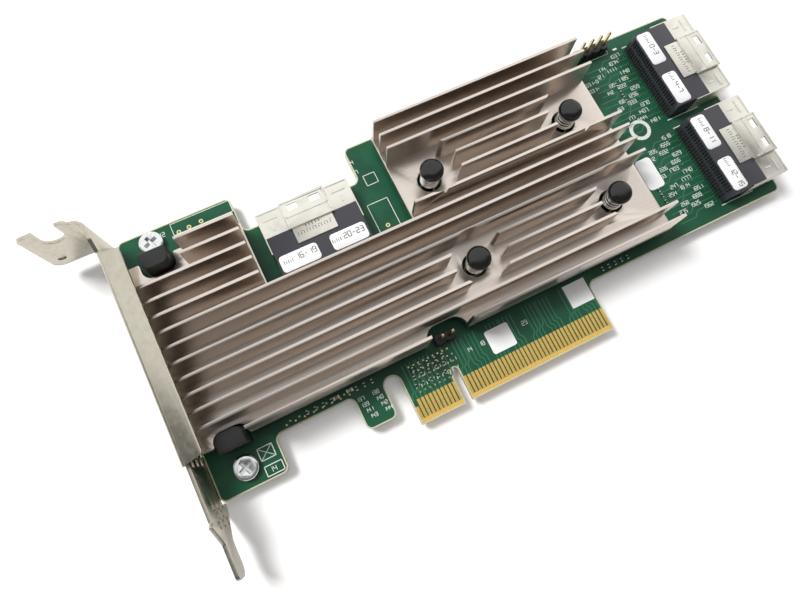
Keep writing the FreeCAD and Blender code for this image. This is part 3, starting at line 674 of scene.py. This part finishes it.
def legends():
    """Plain numerals, outlines and part marks printed on the component side."""
    ink = Print(BOARD_FACE)
    board_low, board_high = in_mm("circuit_board")
    sink_high = in_mm("heat_sink")[1]
    count = socket_numbers(ink)
    # part numbers on the lug beside the retention slot
    for line in range(4):
        for column in range(2):
            x = board_low.x + 35.2 + 3.6 * column + 0.4 * line
            ink.figures("%d" % (110 + count), x, board_low.y + 10.9 - 1.5 * line, 0.85)
            count += 1
    contact_numbers(ink)
    bracket_side_marks(ink)
    third_socket_marks(ink)
    ink.ring(sink_high.x + 9.3, board_high.y - 26.8, 2.4, 1.0)
    # round the four-pin header, and a bar beside it
    low, high = in_mm("four_pin_header_body")
    ink.outline(low.x - 0.5, low.y - 0.5, high.x + 0.5, high.y + 0.5, 0.16)
    ink.stroke(high.x + 2.2, high.y - 2.6, high.x + 3.4, high.y - 2.6, 0.5)
    sink_end_marks(ink)
    ink.done("printed_legends", PRINT_WHITE)


def contact_traces(lines):
    """Traces that leave the contact strips, every fifth one left out."""
    width = 0.24
    low, high = in_mm("edge_contacts_top")
    top = high.y + 8.4
    for number, (strip_low, strip_high) in enumerate(islands("edge_contacts_top")):
        x = (strip_low.x + strip_high.x) / 2 / MM
        jog = 0.9 if number % 10 < 5 else -0.6
        bend = high.y + 1.0 + 0.35 * (number % 5)
        if number % 5 == 4 or x + jog < low.x + 1.0:
            continue
        lines.stroke(x, high.y, x, bend, width)
        lines.stroke(x, bend, x + jog, bend + abs(jog), width)
        lines.stroke(x + jog, bend + abs(jog), x + jog, top, width)


def socket_traces(lines):
    """Traces that run from the two end sockets towards the heat sink."""
    width = 0.2
    rows = 14
    for name in ("upper", "lower"):
        low, high = in_mm("socket_body_" + name)
        for line in range(rows):
            y = low.y + 1.0 + line * (high.y - low.y - 2.0) / (rows - 1)
            end = low.x - 13.0 - 0.4 * (line % 4)
            lines.stroke(low.x - 1.0, y, end + 6.0, y, width)
            lines.stroke(end + 6.0, y, end + 4.6, y - 1.4, width)
            lines.stroke(end + 4.6, y - 1.4, end, y - 1.4, width)


def via_places():
    """(x, y, outer radius, inner radius, sides) of each plated via, in mm."""
    small = (0.2, 0.09, 10)
    larger = (0.22, 0.1, 10)
    pad = (0.55, 0.25, 18)
    places = []
    pitch = 0.8
    for name in ("upper", "lower"):
        low, high = in_mm("socket_body_" + name)
        for step in range(int((high.y - low.y - 2.0) / pitch)):
            x = low.x - 1.5 - 0.55 * (step % 2)
            y = low.y + 1.2 + step * pitch
            places.append((x, y, *small))
            if step % 3 == 0:
                places.append((x - 1.6, y + 0.3, *larger))
    low, high = in_mm("edge_contacts_top")
    for line in range(5):
        for column in range(9):
            x = low.x + 2.6 + column * 1.25 + 0.5 * (line % 2)
            places.append((x, high.y + 1.2 + line * 1.55, *small))
    low, high = in_mm("circuit_board")
    for step in range(16):
        places.append((low.x + 19.0 + step * 1.1, low.y + 13.4 + 0.5 * (step % 2), *small))
    # bare pads of the empty header, and one beside the third socket
    for from_left, from_top in ((14.3, 3.2), (16.9, 3.0), (20.0, 2.8), (60.1, 22.6)):
        places.append((low.x + from_left, high.y - from_top, *pad))
    return places


def copper():
    """Covered traces and small plated vias that leave the connectors."""
    lines = Print(BOARD_FACE, 0.012)
    contact_traces(lines)
    socket_traces(lines)
    lines.done("covered_traces", TRACE)

    def vias(bm):
        height = BOARD_FACE + 0.02 * MM
        for x, y, radius, inner, sides in via_places():
            add_flat_ring(bm, x, y, height, radius, inner, sides)

    mesh = mesh_from("plated_vias", vias)
    keep(new_object("plated_vias", mesh, HEADER_GOLD))


# ---- metalwork -----------------------------------------------------------
def dress_metalwork():
    softened("slot_bracket", NICKEL, 0.14, 2)
    softened("bracket_screws", ZINC, 0.08, 2)
    softened("heat_sink", ANODISED, 0.07, 2)


def dress_blocks():
    for name in ("support_block_lower", "support_block_upper"):
        softened(name, BLOCK_BLACK, 0.12, 3)


# ---- sprung pins ---------------------------------------------------------
SPRING_TURNS = 5.5
SPRING_SECTIONS = 28     # of the wire, in each turn


def pin_profile(low, high, radius):
    """Outline of one pin, from its barb to the crown of its domed cap."""
    cap_low = high - 1.9 * MM
    barb_top = low + 1.9 * MM
    shaft = 1.35 * MM
    barb = 1.75 * MM
    dome_low = high - 1.15 * MM
    dome_rise = 1.1 * MM
    flat_share = 0.42        # of the radius, where the dome starts to flatten
    profile = [
        (0, low),
        (0.75 * MM, low),
        (0.9 * MM, low + 0.15 * MM),
        (barb, barb_top - 0.15 * MM),
        (barb, barb_top),
        (shaft, barb_top + 0.05 * MM),
        (shaft, cap_low),
        (radius - 0.25 * MM, cap_low),
        (radius, cap_low + 0.2 * MM),
        (radius, dome_low),
    ]
    steps = 8
    for step in range(1, steps):
        turn = math.pi / 2 * step / steps
        reach = radius * (flat_share + (1 - flat_share) * math.cos(turn))
        profile.append((reach, dome_low + dome_rise * math.sin(turn)))
    profile += [(radius * 0.3, high - 0.02 * MM), (0, high)]
    return profile


def dress_pins():
    boxes = islands("push_pins")

    def pins(bm):
        for low, high in boxes:
            centre = (low + high) / 2
            add_turned(bm, centre, pin_profile(low.z, high.z, (high.x - low.x) / 2))

    piece = new_object("push_pin_bodies", mesh_from("push_pin_bodies", pins), PIN_BLACK)
    keep(piece)
    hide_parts("push_pins")

    def springs(bm):
        for low, high in islands("pin_springs"):
            centre = (low + high) / 2
            wire = 0.24 * MM
            radius = (high.x - low.x) / 2 - wire
            steps = int(SPRING_TURNS * SPRING_SECTIONS)
            points = []
            for step in range(steps + 1):
                share = step / steps
                turn = 2 * math.pi * SPRING_TURNS * share
                # the turns lie closer together at both ends than in the middle
                rise = share - 0.07 * math.sin(2 * math.pi * share)
                height = low.z + wire + (high.z - low.z - 2 * wire) * rise
                points.append(Vector((centre.x + radius * math.cos(turn),
                                      centre.y + radius * math.sin(turn), height)))
            add_tube(bm, points, wire)

    piece = new_object("push_pin_coils", mesh_from("push_pin_coils", springs), SPRING)
    keep(piece)
    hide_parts("pin_springs")


# ---- cable sockets -------------------------------------------------------
LOW_ROOF = 5.5           # height of the cage's low roofs above its foot, mm
FLAP_TOP = 5.95          # height of the latch flap's printed face, mm
PORT_RANGES = {"top": ("16-19", "20-23"), "upper": ("0-3", "4-7"), "lower": ("8-11", "12-15")}


def socket_place(name):
    """Turns (across, outward) on a socket into a place on the card, in mm."""
    low, high = in_mm("socket_cage_" + name)
    if name == "top":
        middle = (low.x + high.x) / 2
        return lambda u, v: (middle + u, high.y + v)
    middle = (low.y + high.y) / 2
    return lambda u, v: (high.x + v, middle - u)


def socket_details(name):
    """Pressed ribs and seams on one cage, and the plain print on its labels."""
    place = socket_place(name)
    low, high = in_mm("socket_cage_" + name)
    label_top = in_mm("port_labels_" + name)[1].z

    def stroke(ink, u0, v0, u1, v1, width):
        ink.stroke(*place(u0, v0), *place(u1, v1), width)

    # ribs pressed up out of the two low roofs and along the latch roof
    ribs = Print((low.z + LOW_ROOF) * MM, 0.12)
    for side in (-1, 1):
        stroke(ribs, side * 7.0, -2.2, side * 10.4, -2.2, 0.5)
        stroke(ribs, side * 8.7, -5.2, side * 8.7, -3.6, 0.4)
        stroke(ribs, side * 11.2, -0.3, side * 6.0, -0.3, 0.35)
    ribs.done("cage_ribs_" + name, CAGE)
    crown = Print(high.z * MM, 0.1)
    for v in (-4.0, -0.35):
        stroke(crown, -5.2, v, 5.2, v, 0.3)
    for u in (-5.2, 5.2):
        stroke(crown, u, -0.35, u, -6.0, 0.3)
    crown.done("cage_crown_" + name, CAGE)
    # plain marks inked on the flap, in two lines
    flap = Print((low.z + FLAP_TOP) * MM, 0.02)
    for step in range(12):
        u = -4.1 + step * 0.72
        stroke(flap, u, -8.9, u, -8.1 - 0.25 * (step % 2), 0.16)
        if step % 2:
            stroke(flap, u, -8.1, u + 0.4, -8.1, 0.14)
    for step in range(5):
        u = -1.8 + step * 0.8
        stroke(flap, u, -7.6, u, -6.9, 0.16)
        stroke(flap, u, -7.25, u + 0.36, -7.25, 0.12)
    flap.done("flap_marks_" + name, PRINT_GREY)

    # on each label, a few short strokes and the numbers of its ports
    marks = Print(label_top * MM, 0.015)
    turn = 0 if name == "top" else -90
    baseline = -13.9
    for side, text in zip((-1, 1), PORT_RANGES[name]):
        start = side * 6.0 - 2.9
        for step in range(5):
            u = start - 0.9 + step * 0.5
            stroke(marks, u, baseline, u, baseline + 0.9 - 0.3 * (step % 2), 0.18)
        marks.figures(text, *place(start + 2.0, baseline), 1.3, turn, 0.2)
    marks.done("port_numbers_" + name, PRINT_GREY)


def dress_sockets():
    for name in ("top", "upper", "lower"):
        softened("socket_cage_" + name, CAGE, 0.16, 3)
        softened("socket_body_" + name, SOCKET_BLACK, 0.07, 2)
        softened("port_labels_" + name, PAPER, 0.02, 1)
        socket_details(name)


# ---- headers -------------------------------------------------------------
def dress_headers():
    for name in ("four_pin_header", "two_pin_header"):
        softened(name + "_body", HEADER_BLACK, 0.08, 2)
        softened(name + "_pins", HEADER_GOLD, 0.04, 1)


# ---- chips ---------------------------------------------------------------
def dress_chips():
    paint("controller_substrate", SUBSTRATE)
    paint("controller_lid", LID)
    paint("controller_pad", PAD)
    paint("regulator_pads", PAD)
    softened("regulator_chips", CHIP_BLACK, 0.06, 1)
    softened("power_inductors", FERRITE, 0.1, 2)
    softened("memory_chips", CHIP_BLACK, 0.06, 1)
    chip_parts("chip_capacitors", CERAMIC, 0.26)
    chip_parts("chip_resistors", RESISTOR, 0.24)
    chip_parts("solder_side_capacitors", CERAMIC, 0.24)


def chip_parts(node, body_material, cap_share):
    """Two-ended chip parts: a body between two tinned ends."""
    def build(bm):
        for low, high in islands(node):
            size = high - low
            along = 0 if size.x >= size.y else 1
            cap = size[along] * cap_share
            # the body is a little slimmer than its ends, except on the board
            shrink = size.z * 0.06
            hangs = low.z < BOARD_BACK - SAME_POINT
            body_low = low + Vector((shrink, shrink, shrink if hangs else 0))
            body_high = high - Vector((shrink, shrink, 0 if hangs else shrink))
            body_low[along] = low[along] + cap
            body_high[along] = high[along] - cap
            add_box(bm, body_low, body_high, 0)
            near_high = high.copy()
            near_high[along] = low[along] + cap
            add_box(bm, low, near_high, 1)
            far_low = low.copy()
            far_low[along] = high[along] - cap
            add_box(bm, far_low, high, 1)

    mesh = mesh_from(node + "_finish", build)
    piece = new_object(node + "_finish", mesh, body_material)
    mesh.materials.append(TIN)
    bevel = piece.modifiers.new("edges", "BEVEL")
    bevel.width = 0.05 * MM
    bevel.segments = 2
    bevel.harden_normals = True
    keep(piece)
    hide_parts(node)


# ---- floor, light and camera ---------------------------------------------
def linked(tree, kind, inputs):
    """A new node with its sockets set to values or joined to other nodes."""
    node = tree.nodes.new(kind)
    for key, value in inputs.items():
        if hasattr(value, "links"):
            tree.links.new(value, node.inputs[key])
        else:
            node.inputs[key].default_value = value
    return node


def math_node(tree, operation, first, second):
    node = linked(tree, "ShaderNodeMath", {0: first, 1: second})
    node.operation = operation
    return node.outputs[0]


def smooth_range(tree, value, limits):
    """Eases value from one range to another; limits are both ranges' ends."""
    names = ("From Min", "From Max", "To Min", "To Max")
    node = linked(tree, "ShaderNodeMapRange", {"Value": value, **dict(zip(names, limits))})
    node.interpolation_type = "SMOOTHSTEP"
    return node.outputs["Result"]


def floor():
    """White floor under the card, which keeps the shadows."""
    z = cad_box[0][2]
    mesh = bpy.data.meshes.new("floor")
    corners = [(-FLOOR_REACH, -FLOOR_REACH, z), (FLOOR_REACH, -FLOOR_REACH, z),
               (FLOOR_REACH, FLOOR_REACH, z), (-FLOOR_REACH, FLOOR_REACH, z)]
    mesh.from_pydata(corners, [], [(0, 1, 2, 3)])
    material = bpy.data.materials.new("floor_white")
    material.use_nodes = True
    tree = material.node_tree
    shader = tree.nodes["Principled BSDF"]
    shader.inputs["Base Color"].default_value = FLOOR_COLOUR
    shader.inputs["Roughness"].default_value = 0.9
    shader.inputs["Specular IOR Level"].default_value = 0.1
    # the floor turns plain white away from the card, where the lamps fall off
    spot = tree.nodes.new("ShaderNodeTexCoord").outputs["Object"]
    distance = linked(tree, "ShaderNodeVectorMath", {0: spot})
    distance.operation = "LENGTH"
    level = smooth_range(tree, distance.outputs["Value"], FLOOR_GLOW)
    rays = tree.nodes.new("ShaderNodeLightPath").outputs
    seen = math_node(tree, "MAXIMUM", rays["Is Camera Ray"], rays["Is Glossy Ray"])
    strength = math_node(tree, "MULTIPLY", seen, level)
    glow = linked(tree, "ShaderNodeEmission", {"Color": (1, 1, 1, 1), "Strength": strength})
    total = linked(tree, "ShaderNodeAddShader", {0: shader.outputs[0], 1: glow.outputs[0]})
    # from underneath the floor is clear, so that the solder side can be seen
    behind = tree.nodes.new("ShaderNodeNewGeometry").outputs["Backfacing"]
    clear = tree.nodes.new("ShaderNodeBsdfTransparent")
    choice = linked(tree, "ShaderNodeMixShader", {0: behind, 1: total.outputs[0], 2: clear.outputs[0]})
    tree.links.new(choice.outputs[0], tree.nodes["Material Output"].inputs["Surface"])
    new_object("floor", mesh, material)


def studio():
    """World light: white to the eye, uneven to metal and soft to the rest."""
    world = bpy.data.worlds.new("studio")
    bpy.context.scene.world = world
    world.use_nodes = True
    tree = world.node_tree
    background = tree.nodes["Background"]
    background.inputs["Color"].default_value = (1, 1, 1, 1)
    # what the metal sees: a bright ceiling that leans to the far long edge,
    # and a dim side where the viewer stands
    towards = tree.nodes.new("ShaderNodeTexCoord").outputs["Generated"]
    direction = linked(tree, "ShaderNodeSeparateXYZ", {0: towards})
    lean = smooth_range(tree, direction.outputs["Y"], (*LEAN, DIM_SIDE, BRIGHT_SIDE))
    rays = tree.nodes.new("ShaderNodeLightPath").outputs
    glossy = math_node(tree, "MULTIPLY", rays["Is Glossy Ray"], lean)
    straight = math_node(tree, "MAXIMUM", rays["Is Camera Ray"], glossy)
    tree.links.new(math_node(tree, "MAXIMUM", straight, FILL), background.inputs["Strength"])


def area_light(name, place, size, power):
    """A square lamp turned to the middle of the card."""
    data = bpy.data.lights.new(name, "AREA")
    data.shape = "RECTANGLE"
    data.size = size
    data.size_y = size
    data.energy = power
    light = bpy.data.objects.new(name, data)
    bpy.context.scene.collection.objects.link(light)
    light.location = place
    light.rotation_euler = (LAMP_TARGET - place).to_track_quat("-Z", "Y").to_euler()
    # metal mirrors the studio round it rather than the lamp
    light.visible_glossy = False


def lights():
    area_light("key", KEY_PLACE, KEY_SIZE, KEY_POWER)
    area_light("overhead", OVERHEAD_PLACE, OVERHEAD_SIZE, OVERHEAD_POWER)


def camera():
    """The eye, held level by IMAGE_UP."""
    data = bpy.data.cameras.new("camera")
    data.lens = FOCAL_LENGTH
    data.sensor_width = SENSOR_WIDTH
    data.clip_start = NEAREST_SEEN
    eye = bpy.data.objects.new("camera", data)
    bpy.context.scene.collection.objects.link(eye)
    back = (CAMERA_PLACE - CAMERA_TARGET).normalized()
    right = IMAGE_UP.cross(back).normalized()
    up = back.cross(right)
    turn = Matrix((right, up, back)).transposed().to_4x4()
    eye.matrix_world = Matrix.Translation(CAMERA_PLACE) @ turn
    bpy.context.scene.camera = eye


dress_board()
dress_metalwork()
dress_blocks()
dress_pins()
dress_sockets()
dress_headers()
dress_chips()
floor()
studio()
lights()
camera()

scene = bpy.context.scene
scene.view_settings.view_transform = "Standard"
